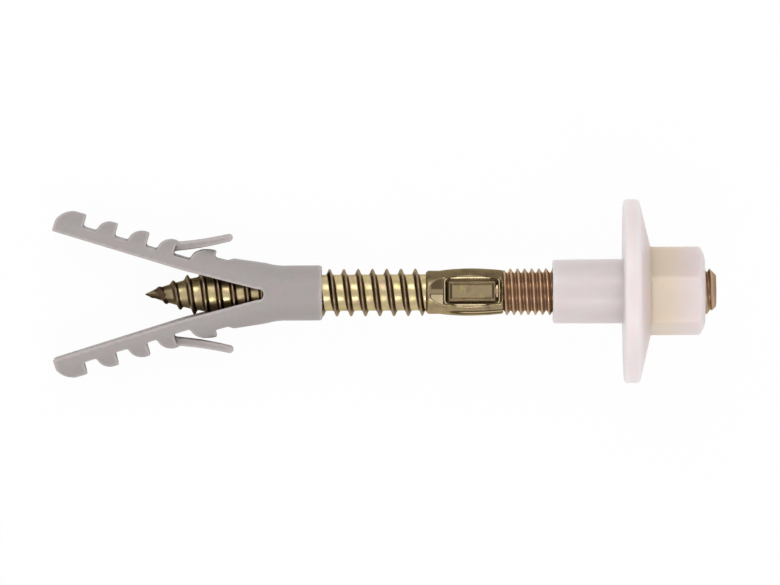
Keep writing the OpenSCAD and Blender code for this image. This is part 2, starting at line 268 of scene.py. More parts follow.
NUMBER = "NodeSocketFloat"
COLOUR = "NodeSocketColor"
CLOUDS = (
    Cloud("Warm", Noise(0.35, 4.0), (0.48, 0.68)),
    Cloud("Cool", Noise(0.9, 3.0, (1.0, 0.6, 1.0)), (0.5, 0.72)),
)
CLOUD_RANGE = (0.3, 0.7)  # where most of the first cloud lies
EVEN_GRAIN = Noise(6.0, 4.0)
DRAWN_LINES = Noise(7.0, 2.0, (0.06, 1.0, 1.0))


class Wiring:
    """A node tree with short calls for adding and joining nodes."""

    COLOUR_A = 6
    COLOUR_B = 7
    COLOUR_OUT = 2

    def __init__(self, tree: bpy.types.NodeTree) -> None:
        """Starts on a tree that may already hold nodes."""
        self.tree = tree

    def node(self, kind: str, **settings: object) -> bpy.types.Node:
        """Adds a node and sets its properties.

        Args:
            kind: Type name of the node.
            **settings: Properties to set on it.

        Returns:
            The new node.
        """
        made = self.tree.nodes.new(kind)
        for key, value in settings.items():
            setattr(made, key, value)
        return made

    def join(self, out: Socket, into: Socket) -> None:
        """Links one socket to another."""
        self.tree.links.new(out, into)

    def feed(self, value: object, into: Socket) -> None:
        """Gives a socket its value.

        Args:
            value: Another socket, a number or a colour.
            into: The socket that takes it.
        """
        if isinstance(value, Socket):
            self.join(value, into)
        elif isinstance(value, tuple):
            into.default_value = (*value, OPAQUE)
        else:
            into.default_value = value

    def maths(self, operation: str, first: object, second: object) -> Socket:
        """A calculation with two values.

        Args:
            operation: Name of the operation.
            first: First value, a socket or a number.
            second: Second value, a socket or a number.

        Returns:
            The socket with the result.
        """
        made = self.node("ShaderNodeMath", operation=operation)
        self.feed(first, made.inputs[0])
        self.feed(second, made.inputs[1])
        return made.outputs[0]

    def noise(self, where: Socket, kind: Noise) -> Socket:
        """A noise field, as its height.

        Args:
            where: Coordinates to read it at, in metres.
            kind: The noise.

        Returns:
            The socket with the noise, about 0.5 on average.
        """
        spread = self.node("ShaderNodeMapping")
        spread.inputs["Scale"].default_value = tuple(s * kind.scale / MM for s in kind.stretch)
        self.join(where, spread.inputs["Vector"])
        grains = self.node("ShaderNodeTexNoise")
        grains.inputs["Scale"].default_value = 1.0
        grains.inputs["Detail"].default_value = kind.detail
        self.join(spread.outputs["Vector"], grains.inputs["Vector"])
        return grains.outputs["Fac"]

    def remap(self, value: Socket, source: Pair, result: Pair = (0.0, 1.0)) -> Socket:
        """A value stretched smoothly from one range to another and kept inside it.

        Args:
            value: Socket with the value.
            source: The two values that become the ends of the result.
            result: The two ends of the result.

        Returns:
            The socket with the result.
        """
        made = self.node("ShaderNodeMapRange", interpolation_type="SMOOTHSTEP")
        made.inputs["From Min"].default_value, made.inputs["From Max"].default_value = source
        made.inputs["To Min"].default_value, made.inputs["To Max"].default_value = result
        self.join(value, made.inputs["Value"])
        return made.outputs["Result"]

    def blend(self, share: Socket, under: object, over: object) -> Socket:
        """One colour laid over another.

        Args:
            share: Socket with the share of the upper colour.
            under: Lower colour, a socket or a constant.
            over: Upper colour, a socket or a constant.

        Returns:
            The socket with the colour.
        """
        made = self.node("ShaderNodeMix", data_type="RGBA")
        self.join(share, made.inputs[0])
        self.feed(under, made.inputs[self.COLOUR_A])
        self.feed(over, made.inputs[self.COLOUR_B])
        return made.outputs[self.COLOUR_OUT]

    def group(self, group: bpy.types.NodeTree, **values: object) -> bpy.types.Node:
        """Puts a group into the tree.

        Args:
            group: The group.
            **values: Its inputs.

        Returns:
            The group's node.
        """
        made = self.node("ShaderNodeGroup", node_tree=group)
        for key, value in values.items():
            self.feed(value, made.inputs[key])
        return made

    def seen(self) -> Socket:
        """A mask that is 1 where the camera, a reflection or glass looks at the surface.

        Returns:
            The socket with the mask.
        """
        path = self.node("ShaderNodeLightPath")
        mask = path.outputs["Is Camera Ray"]
        for kind in ("Is Glossy Ray", "Is Transmission Ray"):
            mask = self.maths("MAXIMUM", mask, path.outputs[kind])
        return mask


def open_group(
    name: str, takes: dict[str, str], gives: dict[str, str]
) -> tuple[bpy.types.NodeTree, bpy.types.Node, bpy.types.Node]:
    """Makes a shader group with its sockets.

    Args:
        name: Name of the group.
        takes: Its inputs, each with its socket type.
        gives: Its outputs, each with its socket type.

    Returns:
        The group, its input node and its output node.
    """
    group = bpy.data.node_groups.new(name, "ShaderNodeTree")
    for sockets, side in ((takes, "INPUT"), (gives, "OUTPUT")):
        for label, kind in sockets.items():
            group.interface.new_socket(name=label, in_out=side, socket_type=kind)
    return group, group.nodes.new("NodeGroupInput"), group.nodes.new("NodeGroupOutput")


def mottle_group() -> bpy.types.NodeTree:
    """A group that clouds a colour with two others, as moulded nylon and passivated zinc both do.

    Returns:
        The group: Scale, Amount and three colours in, Color and Cloud out.
    """
    takes = {"Scale": NUMBER, "Amount": NUMBER, "Base": COLOUR, "Warm": COLOUR, "Cool": COLOUR}
    group, into, out = open_group("colour_mottle", takes, {"Color": COLOUR, "Cloud": NUMBER})
    wire = Wiring(group)
    place = wire.node("ShaderNodeTexCoord")
    scaled = wire.node("ShaderNodeVectorMath", operation="SCALE")
    wire.join(place.outputs["Object"], scaled.inputs[0])
    wire.join(into.outputs["Scale"], scaled.inputs["Scale"])
    fields = [wire.noise(scaled.outputs[0], cloud.noise) for cloud in CLOUDS]
    colour = into.outputs["Base"]
    for height, cloud in zip(fields, CLOUDS):
        share = wire.maths("MULTIPLY", wire.remap(height, cloud.fade), into.outputs["Amount"])
        colour = wire.blend(share, colour, into.outputs[cloud.shade])
    wire.join(colour, out.inputs["Color"])
    wire.join(fields[0], out.inputs["Cloud"])
    return group


def grain_group() -> bpy.types.NodeTree:
    """A group that gives a surface its fine relief: even grain and long drawn lines.

    Returns:
        The group: Grain and Lines in, Height out.
    """
    takes = {"Grain": NUMBER, "Lines": NUMBER}
    group, into, out = open_group("surface_grain", takes, {"Height": NUMBER})
    wire = Wiring(group)
    place = wire.node("ShaderNodeTexCoord")
    heights = []
    for kind, strength in ((EVEN_GRAIN, "Grain"), (DRAWN_LINES, "Lines")):
        height = wire.noise(place.outputs["Object"], kind)
        heights.append(wire.maths("MULTIPLY", height, into.outputs[strength]))
    wire.join(wire.maths("ADD", *heights), out.inputs["Height"])
    return group


# ---- Finishes ----

# Relief ranges over which the flank and crest veils paint a thread's shade and highlights.
FLANK_RANGE = (0.0, 0.12)
CREST_RANGE = (0.5, 0.9)
PAINTED_COVER = (0.0, 0.95)


@dataclass(frozen=True)
class Groups:
    """The shader groups that the finishes share."""

    mottle: bpy.types.NodeTree
    grain: bpy.types.NodeTree


@dataclass(frozen=True)
class Touch:
    """How a surface is clouded, how rough it is and how deep its grain is, in millimetres."""

    cloud_scale: float
    clouding: float
    roughness: Pair
    grain: float
    lines: float
    depth: float


@dataclass(frozen=True)
class Veil:
    """A colour over a range of the relief, with how much it covers at the two ends of the range."""

    colour: Colour
    relief: Pair
    cover: Pair


@dataclass(frozen=True)
class Glow:
    """How light scatters inside: how much, how far for each colour and its scale in millimetres."""

    weight: float = 0.0
    radius: Colour = (1.0, 1.0, 1.0)
    scale: float = 1.0


@dataclass(frozen=True, kw_only=True)
class Finish:
    """A finish: its plain, warm and cool shade in clouds, veils over them, and how it feels and shines."""

    name: str
    shades: tuple[Colour, Colour, Colour]
    veils: tuple[Veil, ...]
    touch: Touch
    glow: Glow = Glow()
    metallic: float = 0.0
    shine: float = 0.5
    edge_tint: Colour = (1.0, 1.0, 1.0)

    def material(self, groups: Groups) -> bpy.types.Material:
        """Builds the material.

        Args:
            groups: The shared shader groups.

        Returns:
            The material.
        """
        material = bpy.data.materials.new(self.name)
        material.use_nodes = True
        wire = Wiring(material.node_tree)
        shader = wire.tree.nodes["Principled BSDF"]
        plain, warm, cool = self.shades
        cloudy = {"Scale": self.touch.cloud_scale, "Amount": self.touch.clouding}
        mottle = wire.group(groups.mottle, Base=plain, Warm=warm, Cool=cool, **cloudy)
        relief = wire.node("ShaderNodeAttribute", attribute_name=RELIEF)
        colour = mottle.outputs["Color"]
        for veil in self.veils:
            share = wire.remap(relief.outputs["Fac"], veil.relief, veil.cover)
            colour = wire.blend(share, colour, veil.colour)
        grain = wire.group(groups.grain, Grain=self.touch.grain, Lines=self.touch.lines)
        bump = wire.node("ShaderNodeBump")
        wire.feed(1.0, bump.inputs["Strength"])
        wire.feed(self.touch.depth * MM, bump.inputs["Distance"])
        wire.join(grain.outputs["Height"], bump.inputs["Height"])
        values = {
            "Base Color": colour,
            "Roughness": wire.remap(mottle.outputs["Cloud"], CLOUD_RANGE, self.touch.roughness),
            "Normal": bump.outputs["Normal"],
            "Metallic": self.metallic,
            "Specular IOR Level": self.shine,
            "Specular Tint": self.edge_tint,
            "Subsurface Weight": self.glow.weight,
            "Subsurface Scale": self.glow.scale * MM,
        }
        for key, value in values.items():
            wire.feed(value, shader.inputs[key])
        shader.inputs["Subsurface Radius"].default_value = self.glow.radius
        return material


@dataclass(frozen=True, kw_only=True)
class YellowZinc(Finish):
    """Yellow-passivated zinc on rolled steel; its flanks and crests take painted shade and highlights over
    the plain surface.
    """

    touch: Touch = Touch(1.0, 0.85, roughness=(0.24, 0.42), grain=0.35, lines=0.6, depth=0.02)
    metallic: float = 1.0
    edge_tint: Colour = (0.8, 0.72, 0.55)

    @staticmethod
    def shade_and_highlight(flank: Colour, crest: Colour) -> tuple[Veil, Veil]:
        """The veils of a thread, from the colours of its flanks and its crests, which paint its shade and
        highlights.
        """
        return Veil(flank, FLANK_RANGE, PAINTED_COVER), Veil(crest, CREST_RANGE, PAINTED_COVER)


@dataclass(frozen=True, kw_only=True)
class GreyNylon(Finish):
    """Warm grey moulded nylon with a fine mould grain, with painted shade in inner corners and a painted
    highlight on outer edges.
    """

    name: str = "grey_nylon"
    shades: tuple[Colour, Colour, Colour] = ((0.37, 0.335, 0.325), (0.41, 0.34, 0.34), (0.335, 0.33, 0.30))
    veils: tuple[Veil, ...] = (
        # painted shade in inner corners
        Veil((0.12, 0.10, 0.095), (0.1, 0.46), (0.8, 0.0)),
        # painted highlight on outer edges
        Veil((0.56, 0.50, 0.49), (0.56, 1.0), (0.0, 0.7)),
    )
    touch: Touch = Touch(1.3, 0.7, roughness=(0.44, 0.56), grain=1.0, lines=0.25, depth=0.018)
    glow: Glow = Glow(0.12, (1.2, 0.9, 0.8), 0.8)
    shine: float = 0.4


@dataclass(frozen=True, kw_only=True)
class MilkyNylon(Finish):
    """Natural nylon: milky, creamy where it is thick and pale where it is thin."""

    name: str = "milky_nylon"
    shades: tuple[Colour, Colour, Colour] = ((0.73, 0.64, 0.64), (0.74, 0.61, 0.61), (0.72, 0.67, 0.66))
    veils: tuple[Veil, ...] = (
        Veil((0.72, 0.61, 0.48), (0.0, 0.5), (0.9, 0.0)),
        Veil((0.80, 0.725, 0.735), (0.5, 1.0), (0.0, 0.9)),
    )
    touch: Touch = Touch(0.45, 0.6, roughness=(0.3, 0.4), grain=0.7, lines=0.0, depth=0.012)
    glow: Glow = Glow(0.9, (1.4, 1.15, 1.0), 3.0)


# ---- Hanger bolt ----


@dataclass(frozen=True)
class Thread:
    """A right-hand thread: where it runs, its pitch and the shape of one turn."""

    start: float
    end: float
    pitch: float
    profile: tuple[Pair, ...]
    turn: float = 0.0
    steps: int = 96

    def skin(self, spot_at: Callable[[float, float], Corner], first: float, last: float) -> Skin:
        """Draws the thread.

        Args:
            spot_at: Gives the station, the radius and the relief for a nominal station and a height that runs
                from 0 in the root to 1 on the crest.
            first: Station on the axis where the first end closes.
            last: Station on the axis where the other end closes.

        Returns:
            The closed surface.
        """
        skin = Skin()
        points = [*self.profile, (self.profile[0][0] + 1, self.profile[0][1])]
        count = self.steps * math.ceil((self.end - self.start) / self.pitch)
        rows = []
        for i in range(count + 1):
            angle = math.radians(360 * i / self.steps + self.turn)
            row = []
            for share, height in points:
                u, r, relief = spot_at(self.start + self.pitch * (i / self.steps + share), height)
                row.append(skin.polar(u, r, angle, relief))
            rows.append(row)
        skin.grid(rows)
        ends = ((first, rows[0], 0, rows[: self.steps + 1]), (last, rows[-1], -1, rows[-self.steps - 1 :]))
        for station, rim, side, turn_rows in ends:
            hub = skin.polar(station, 0.0, 0.0, 0.0)
            skin.fan(hub, rim)
            skin.fan(hub, [row[side] for row in turn_rows])
        return skin


@dataclass(frozen=True)
class WoodThread:
    """Wood thread with a tapered point: a slim fin that winds round a core."""

    start: float = 0.56
    length: float = 59.5
    r: float = 5.0
    core_r: float = 3.8
    pitch: float = 3.0
    turn: float = 90.0
    point_length: float = 13.0
    point_r: float = 0.25
    point_shade: float = 0.12
    shade_length: float = 10.4
    fin_start: float = 11.5
    runout: float = 1.3
    sink: Pair = (0.5, 1.5)
    sink_depth: float = 0.6
    hidden_length: float = 1.5
    hidden_end: float = 3.5
    flank_at: tuple[float, ...] = (-0.3, -0.25, -0.2, -0.15, -0.11, -0.075, -0.045)
    flank_height: tuple[float, ...] = (0.0, 0.03, 0.13, 0.34, 0.6, 0.84, 0.97)

    def spot(self, u: float, height: float) -> Corner:
        """A point of the thread; past its end it sinks into the grip.

        Args:
            u: Nominal station.
            height: Height on the fin, from 0 in the root to 1 on the crest.

        Returns:
            The station, the radius and the relief.
        """
        taper = clamp(u / self.point_length)
        core = mix(self.point_r, self.core_r, (taper + math.sin(math.pi / 2 * taper)) / 2)
        growth = clamp(u / self.fin_start) * clamp((self.length - u) / self.runout)
        fin = height * (self.r - self.core_r) * growth
        sunk = ease(self.length + self.sink[0], self.length + self.sink[1], u)
        # Relief follows the fin's height for the painted shade; towards the point it eases to point_shade,
        # giving the point the flanks' colour.
        relief = mix(self.point_shade, height, ease(0.0, self.shade_length, u))
        return max(u, 0.0), mix(core + fin, self.core_r - self.sink_depth, sunk), relief

    def skin(self) -> Skin:
        """Draws the thread, a sharp fin with a rounded root.

        Returns:
            The closed surface.
        """
        rising = tuple(zip(self.flank_at, self.flank_height))
        falling = ((-share, height) for share, height in reversed(rising))
        profile = (*rising, (0.0, 1.0), *falling, (0.5, 0.0))
        thread = Thread(self.start, self.length + self.hidden_length, self.pitch, profile, self.turn)
        return thread.skin(self.spot, 0.0, self.length + self.hidden_end)


@dataclass(frozen=True)
class MachineThread:
    """Machine thread up to the bolt's chamfered end."""

    start: float = 75.2
    end: float = 120.0
    r: float = 4.9
    depth: float = 0.9
    pitch: float = 1.5
    rise: Pair = (-1.0, 0.6)
    sink_depth: float = 0.4
    hidden_start: float = 3.0
    end_chamfer: float = 1.6
    end_round: float = 0.25
    end_dish: float = 0.12
    profile_at: tuple[float, ...] = (-0.5, -0.42, -0.34, -0.2, -0.06, -0.02, 0.1, 0.14, 0.36)
    profile_height: tuple[float, ...] = (0.04, 0.0, 0.04, 0.36, 0.94, 1.0, 1.0, 0.94, 0.36)

    def spot(self, u: float, height: float) -> Corner:
        """A point of the thread; past the end its turns wind inwards as the flat end.

        Args:
            u: Nominal station.
            height: Height on the thread, from 0 in the root to 1 on the crest.

        Returns:
            The station, the radius and the relief.
        """
        crest = self.r - (1 - height) * self.depth
        cone = self.r + self.end - self.end_chamfer - u
        sunk_r = self.r - self.depth - self.sink_depth
        risen = ease(self.start + self.rise[0], self.start + self.rise[1], u)
        if u <= self.end:
            return u, mix(sunk_r, soft_min(crest, cone, self.end_round), risen), height
        share = max(0.0, 1 - (u - self.end) / self.pitch)
        return self.end - self.end_dish * (1 - share), (self.r - self.end_chamfer) * share, 1.0

    def skin(self) -> Skin:
        """Draws the thread, with a narrow flat on its crest and in its root.

        Returns:
            The closed surface.
        """
        profile = tuple(zip(self.profile_at, self.profile_height))
        thread = Thread(self.start - self.pitch, self.end + 2 * self.pitch, self.pitch, profile)
        return thread.skin(self.spot, self.start - self.hidden_start, self.end - self.end_dish)


@dataclass(frozen=True)
class Ridge:
    """A soft ridge that follows the pad's outline: how far inside it, how wide and how high."""

    inside: float
    width: float
    height: float

    def share(self, outside: float) -> float:
        """How much of the ridge stands at a distance outside the pad's outline."""
        return bell(outside + self.inside, self.width)


@dataclass(frozen=True)
class PressedPad:
    """Spanner flat pressed into the grip: a ramp, a raised frame, a groove, a bead and a sunk bare panel.

    Pairs of sizes are where a step begins and ends: the ramp and its facet count from the starts of the grip
    and the pad, the panel from the pad's outline and the sides from the middle line.
    """

    grip_start: float
    grip_end: float
    level: float = 3.65
    before: float = 0.7
    after: float = 0.55
    half_width: float = 3.1
    corner: float = 1.3
    ramp: Pair = (-3.4, -0.4)
    ramp_rise: float = 0.95
    end_reach: float = 0.1
    end_rise: float = 1.2
    frame: Ridge = Ridge(0.22, 0.2, 0.18)
    groove: Ridge = Ridge(0.68, 0.2, -0.12)
    bead: Ridge = Ridge(1.25, 0.34, 0.16)
    panel: Pair = (-0.45, -0.7)
    panel_depth: float = 0.2
    facet_start: Pair = (-2.2, -1.8)
    facet_end: Pair = (0.1, -0.3)
    # Painted highlight on the facet's lower side, painted shade on its upper side and in the groove:
    facet_highlight_side: Pair = (-0.5, -0.8)
    facet_shade_side: Pair = (0.2, 0.6)
    facet_shade_level: float = 0.09
    groove_painted_shade: float = 0.3
    bead_shade: float = 0.66

    def outside(self, u: float, v: float) -> float:
        """Distance from the pad's rounded outline, below 0 inside it.

        Args:
            u: Station along the bolt.
            v: Distance across it.

        Returns:
            The distance in millimetres.
        """
        start, end = self.grip_start + self.before, self.grip_end - self.after
        across = abs(v) - self.half_width + self.corner
        along = abs(u - (start + end) / 2) - (end - start) / 2 + self.corner
        return math.hypot(max(across, 0), max(along, 0)) + min(max(across, along), 0) - self.corner

    def spot(self, u: float, v: float) -> Pair:
        """Height of the pad over the axis and its relief.

        Args:
            u: Station along the bolt.
            v: Distance across it.

        Returns:
            The height in millimetres and the relief: 1 on the frame and the ramp's facet, a painted
                highlight, and low where shade is painted.
        """
        start, end = self.grip_start + self.before, self.grip_end - self.after
        ramp = 1 - ease(self.grip_start + self.ramp[0], start + self.ramp[1], u)
        level = self.level + self.ramp_rise * ramp
        level += self.end_rise * ease(end, self.grip_end + self.end_reach, u)
        outside = self.outside(u, v)
        frame, groove, bead = (ridge.share(outside) for ridge in (self.frame, self.groove, self.bead))
        facet = ease(self.grip_start + self.facet_start[0], self.grip_start + self.facet_start[1], u)
        facet *= ease(start + self.facet_end[0], start + self.facet_end[1], u)
        # Painted highlight on the facet's lower side and painted shade on its upper side.
        facet_highlight = facet * ease(*self.facet_highlight_side, v)
        facet_shade = self.facet_shade_level * facet * ease(*self.facet_shade_side, v)
        relief = mix(max(frame, facet_highlight, facet_shade), self.groove_painted_shade, groove)
        relief = mix(relief, self.bead_shade, bead * (1 - groove))
        sunk = self.panel_depth * ease(*self.panel, outside)
        ridges = self.frame.height * frame + self.groove.height * groove + self.bead.height * bead
        return level + ridges - sunk, relief


@dataclass(frozen=True)
class PressedGrip:
    """Barrel-shaped grip between the two threads, with a pressed pad on each of two sides.

    One side of the barrel carries a painted highlight along a line, and its upper side painted shade.
    """

    wood_end: float
    end: float
    start: float = 62.0
    shank_r: float = 4.55
    bulge: float = 0.475
    bulge_power: float = 0.8
    bulge_fall: float = 0.2
    hidden_r: float = 2.6
    overlap: float = 0.5
    neck: Pair = (-0.7, 0.1)
    neck_depth: float = 0.5
    end_round: Pair = (0.3, 0.12)  # reach and depth
    turn: float = -6.0
    pad_round: float = 0.12
    pad_tries: int = 4
    pad_reach: float = 0.05
    pad_fade: Pair = (0.02, 0.1)
    # The painted highlight along one side of the barrel and the painted shade on its upper side:
    highlight_band: Pair = (-0.84, 0.05)  # place and width, as shares of the radius
    highlight_fade: Pair = (0.1, 0.4)
    highlight_level: float = 0.85
    upper_side: Pair = (0.45, 0.7)
    upper_painted_shade: float = 0.075
    spacing: float = 0.08
    around: int = 288

    def along(self, u: float) -> float:
        """Share of the barrel that lies before a station."""
        return clamp((u - self.start) / (self.end - self.start))

    def barrel_r(self, u: float) -> float:
        """Radius of the round barrel.

        Args:
            u: Station along the bolt.

        Returns:
            The radius in millimetres.
        """
        share = self.along(u)
        swell = math.sin(math.pi * share) ** self.bulge_power * (1 - self.bulge_fall * share)
        neck = 1 - ease(self.wood_end + self.neck[0], self.wood_end + self.neck[1], u)
        reach, depth = self.end_round
        rounding = depth * ease(self.end - reach, self.end, u)
        return self.shank_r + self.bulge * swell - self.neck_depth * neck - rounding

    def spot(self, pad: PressedPad, u: float, barrel: float, angle: float) -> Pair:
        """A point of the grip, where the pads cut the barrel.

        Args:
            pad: The pressed pad.
            u: Station along the bolt.
            barrel: Radius of the barrel there.
            angle: Angle about the bolt.

        Returns:
            The radius and the relief.
        """
        # A painted highlight along one side of the barrel and painted shade on its upper side.
        side = math.cos(angle)
        highlight = self.highlight_level * bell(side - self.highlight_band[0], self.highlight_band[1])
        highlight *= ease(*self.highlight_fade, self.along(u))
        relief = max(self.upper_painted_shade * ease(*self.upper_side, side), highlight)
        pad_angle = angle - math.radians(self.turn)
        up = abs(math.sin(pad_angle))
        if up <= self.pad_reach:
            return barrel, relief
        r, shade = barrel, relief
        for _ in range(self.pad_tries):
            level, shade = pad.spot(u, r * math.cos(pad_angle))
            r = soft_min(barrel, level / up, self.pad_round)
        return r, mix(relief, shade, ease(*self.pad_fade, barrel - r))

    def skin(self) -> Skin:
        """Draws the grip, from inside the wood thread to inside the machine thread.

        Returns:
            The surface, open at its two ends, which the threads hide.
        """
        skin = Skin()
        pad = PressedPad(self.start, self.end)
        first = self.wood_end - self.overlap
        stations = [first + self.spacing * i for i in range(int((self.end - first) / self.spacing))]
        stations.append(self.end)
        rows = []
        for k, u in enumerate([first, *stations, self.end]):
            capped = k in (0, len(stations) + 1)
            barrel = self.barrel_r(u)
            row = []
            for i in range(self.around + 1):
                angle = math.tau * i / self.around
                r, relief = self.spot(pad, u, barrel, angle)
                row.append(skin.polar(u, self.hidden_r if capped else r, angle, relief))
            rows.append(row)
        skin.grid(rows)
        return skin


@dataclass(frozen=True)
class HangerBolt:
    """Rolled steel bolt with a wood thread, a pressed grip and a machine thread, each in its own plating."""

    wood: WoodThread = WoodThread()
    machine: MachineThread = MachineThread()
    crease: float = 50.0
    # Each plating's flank and crest colours paint shade and highlights; on the grip they also paint its
    # highlight band, facet and frame.
    wood_plating: YellowZinc = YellowZinc(
        name="zinc_gold",
        shades=((0.60, 0.485, 0.27), (0.50, 0.36, 0.26), (0.46, 0.41, 0.15)),
        veils=YellowZinc.shade_and_highlight(flank=(0.065, 0.04, 0.025), crest=(0.32, 0.235, 0.165)),
    )
    grip_plating: YellowZinc = YellowZinc(
        name="zinc_olive",
        shades=((0.35, 0.265, 0.155), (0.22, 0.155, 0.11), (0.40, 0.34, 0.13)),
        veils=YellowZinc.shade_and_highlight(flank=(0.075, 0.05, 0.025), crest=(0.66, 0.54, 0.33)),
    )
    machine_plating: YellowZinc = YellowZinc(
        name="zinc_copper",
        shades=((0.29, 0.185, 0.13), (0.22, 0.135, 0.14), (0.46, 0.33, 0.13)),
        veils=YellowZinc.shade_and_highlight(flank=(0.38, 0.25, 0.17), crest=(0.50, 0.36, 0.25)),
    )

    def dress(self, axis: BoltAxis, groups: Groups) -> list[bpy.types.Object]:
        """Builds the bolt's pieces in place of the frame's plain one.

        Args:
            axis: Where the bolt lies.
            groups: The shared shader groups.

        Returns:
            The pieces.
        """
        made = []
        grip = PressedGrip(self.wood.length, self.machine.start)
        drawn = (
            ("bolt_wood_thread", self.wood, self.wood_plating),
            ("bolt_grip", grip, self.grip_plating),
            ("bolt_machine_thread", self.machine, self.machine_plating),
        )
        for name, part, plating in drawn:
            piece = part.skin().build(name, axis, plating.material(groups), self.crease)
            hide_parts("hanger_bolt")
            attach(piece, "bolt")
            made.append(piece)
        return made


# ---- Collar nut ----


@dataclass(frozen=True)
class CollarNut:
    """Nylon nut with a centring sleeve, a wide flange with a coned back and a rounded hexagon.

    The shares say where rings lie along a surface, and the pale values how milky the parts look.
    """

    bore_r: float = 5.05
    bore_chamfer: float = 0.5
    bore_front: float = 1.2
    bore_back: float = 1.5
    sleeve_r: float = 6.7
    sleeve_draft: float = 0.08
    sleeve_end: float = 85.65
    seat: float = 100.55
    flange_r: float = 19.33
    rim_back: float = 103.85
    hex_start: float = 106.05
    end: float = 117.65
    cone_top_r: float = 10.0
    cone_lip: Pair = (0.02, 0.15)  # along the bolt and towards it
    front_rounding: tuple[float, ...] = (0, 0.15, 0.15, 0.45, 0.5, 0.9, 0.9, 0.5, 0)
    round_steps: int = 6
    back_rounding: tuple[float, ...] = (0, 0.15, 0.15, 0)
    hex_half: float = 8.5
    hex_round: float = 1.4
    hex_turn: float = 12.0
    hex_chamfer: float = 1.1
    foot: float = 0.5
    foot_steps: int = 4
    foot_inside: float = 0.2
    side_shares: tuple[float, ...] = (0.3, 0.6, 0.9, 0.96)
    face_r: float = 6.63
    face_lip: float = 0.2
    end_shares: tuple[float, ...] = (0.02, 0.05, 0.12, 0.3, 0.55, 0.8, 0.93, 1.0)
    end_edge: float = 0.25
    end_edge_share: float = 0.05
    end_edge_pull: Pair = (0.5, 0.3)  # along the bolt and towards it
    end_crown: float = 0.12
    pale_sleeve: float = 0.45
    pale_mouth: float = 0.2
    mouth_reach: float = 0.8
    flange_reach: float = 0.6
    root: Pair = (-0.2, 0.3)
    root_spread: float = 4.0
    pale_hex: Pair = (0.02, 0.46)
    pale_hex_reach: Pair = (2.0, -1.0)
    crease: float = 42.0
    around: int = 240

    def hex_r(self, angle: float) -> float:
        """Distance from the axis to the hexagon's side at an angle, with rounded edges.

        Args:
            angle: Angle about the bolt, in radians.

        Returns:
            The distance in millimetres.
        """
        turned = ((angle - math.radians(self.hex_turn)) % (math.pi / 3)) - math.pi / 6
        inner = self.hex_half - self.hex_round
        if abs(turned) <= math.atan(inner * math.tan(math.pi / 6) / self.hex_half):
            return self.hex_half / math.cos(turned)
        corner = inner / math.cos(math.pi / 6)
        off = math.pi / 6 - abs(turned)
        return corner * math.cos(off) + math.sqrt(self.hex_round**2 - (corner * math.sin(off)) ** 2)

    def chamfer_at(self, r: float) -> float:
        """Station of the turned chamfer at a distance from the axis."""
        corner = (self.hex_half - self.hex_round) / math.cos(math.pi / 6) + self.hex_round
        return self.end - self.hex_chamfer * (r - self.face_r) / (corner - self.face_r)

    @staticmethod
    def round_spot(point: Pair, _angle: float) -> Pair:
        """A point of the turned parts, the same at every angle."""
        return point

    def foot_spot(self, bend: float, angle: float) -> Pair:
        """A point of the fillet at the hexagon's foot.

        Args:
            bend: How far the fillet has turned there, from 0 on the cone to a quarter turn on the side.
            angle: Angle about the bolt.

        Returns:
            The station and the radius.
        """
        out = self.foot * (1 - math.sin(bend))
        r = min(self.hex_r(angle) + out, self.cone_top_r - self.foot_inside)
        return self.hex_start + self.foot * (1 - math.cos(bend)), r

    def side_spot(self, share: float, angle: float) -> Pair:
        """A point of the hexagon's side, from its foot (share 0) to its chamfer (share 1)."""
        r = self.hex_r(angle)
        return mix(self.hex_start + self.foot, self.chamfer_at(r), share), r

    def end_spot(self, share: float, angle: float) -> Pair:
        """A point of the end, from the hexagon's side to the flat face.

        Args:
            share: Share of the way from the side to the face.
            angle: Angle about the bolt.

        Returns:
            The station and the radius.
        """
        r = mix(self.hex_r(angle), self.face_r, share)
        edge = self.end_edge * math.exp(-share / self.end_edge_share)
        crown = self.end_crown * math.sin(math.pi * share)
        return self.chamfer_at(r) - edge * self.end_edge_pull[0] + crown, r - edge * self.end_edge_pull[1]

    def rings(self) -> list[Ring]:
        """The closed profile, as functions from an angle to a station and a radius.

        Returns:
            One function for each ring, from the sleeve's bore round the outside and back.
        """
        mouth_r = self.bore_r + self.bore_chamfer
        front = [
            (self.sleeve_end + self.bore_front, self.bore_r),
            (self.sleeve_end + self.bore_chamfer, self.bore_r),
            (self.sleeve_end, mouth_r),
            (self.sleeve_end, self.sleeve_r),
            (self.seat, self.sleeve_r + self.sleeve_draft),
            (self.seat, self.flange_r),
            (self.rim_back, self.flange_r),
            (self.hex_start, self.cone_top_r),
            (self.hex_start + self.cone_lip[0], self.cone_top_r - self.cone_lip[1]),
        ]
        back = [
            (self.end, self.face_r - self.face_lip),
            (self.end, mouth_r),
            (self.end - self.bore_chamfer, self.bore_r),
            (self.end - self.bore_back, self.bore_r),
        ]
        bends = [math.pi / 2 * i / self.foot_steps for i in range(self.foot_steps + 1)]
        front = rounded_path(front, self.front_rounding, self.round_steps)
        back = rounded_path(back, self.back_rounding)
        return [
            *(partial(self.round_spot, point) for point in front),
            *(partial(self.foot_spot, bend) for bend in bends),
            *(partial(self.side_spot, share) for share in self.side_shares),
            *(partial(self.end_spot, share) for share in self.end_shares),
            *(partial(self.round_spot, point) for point in back),
        ]

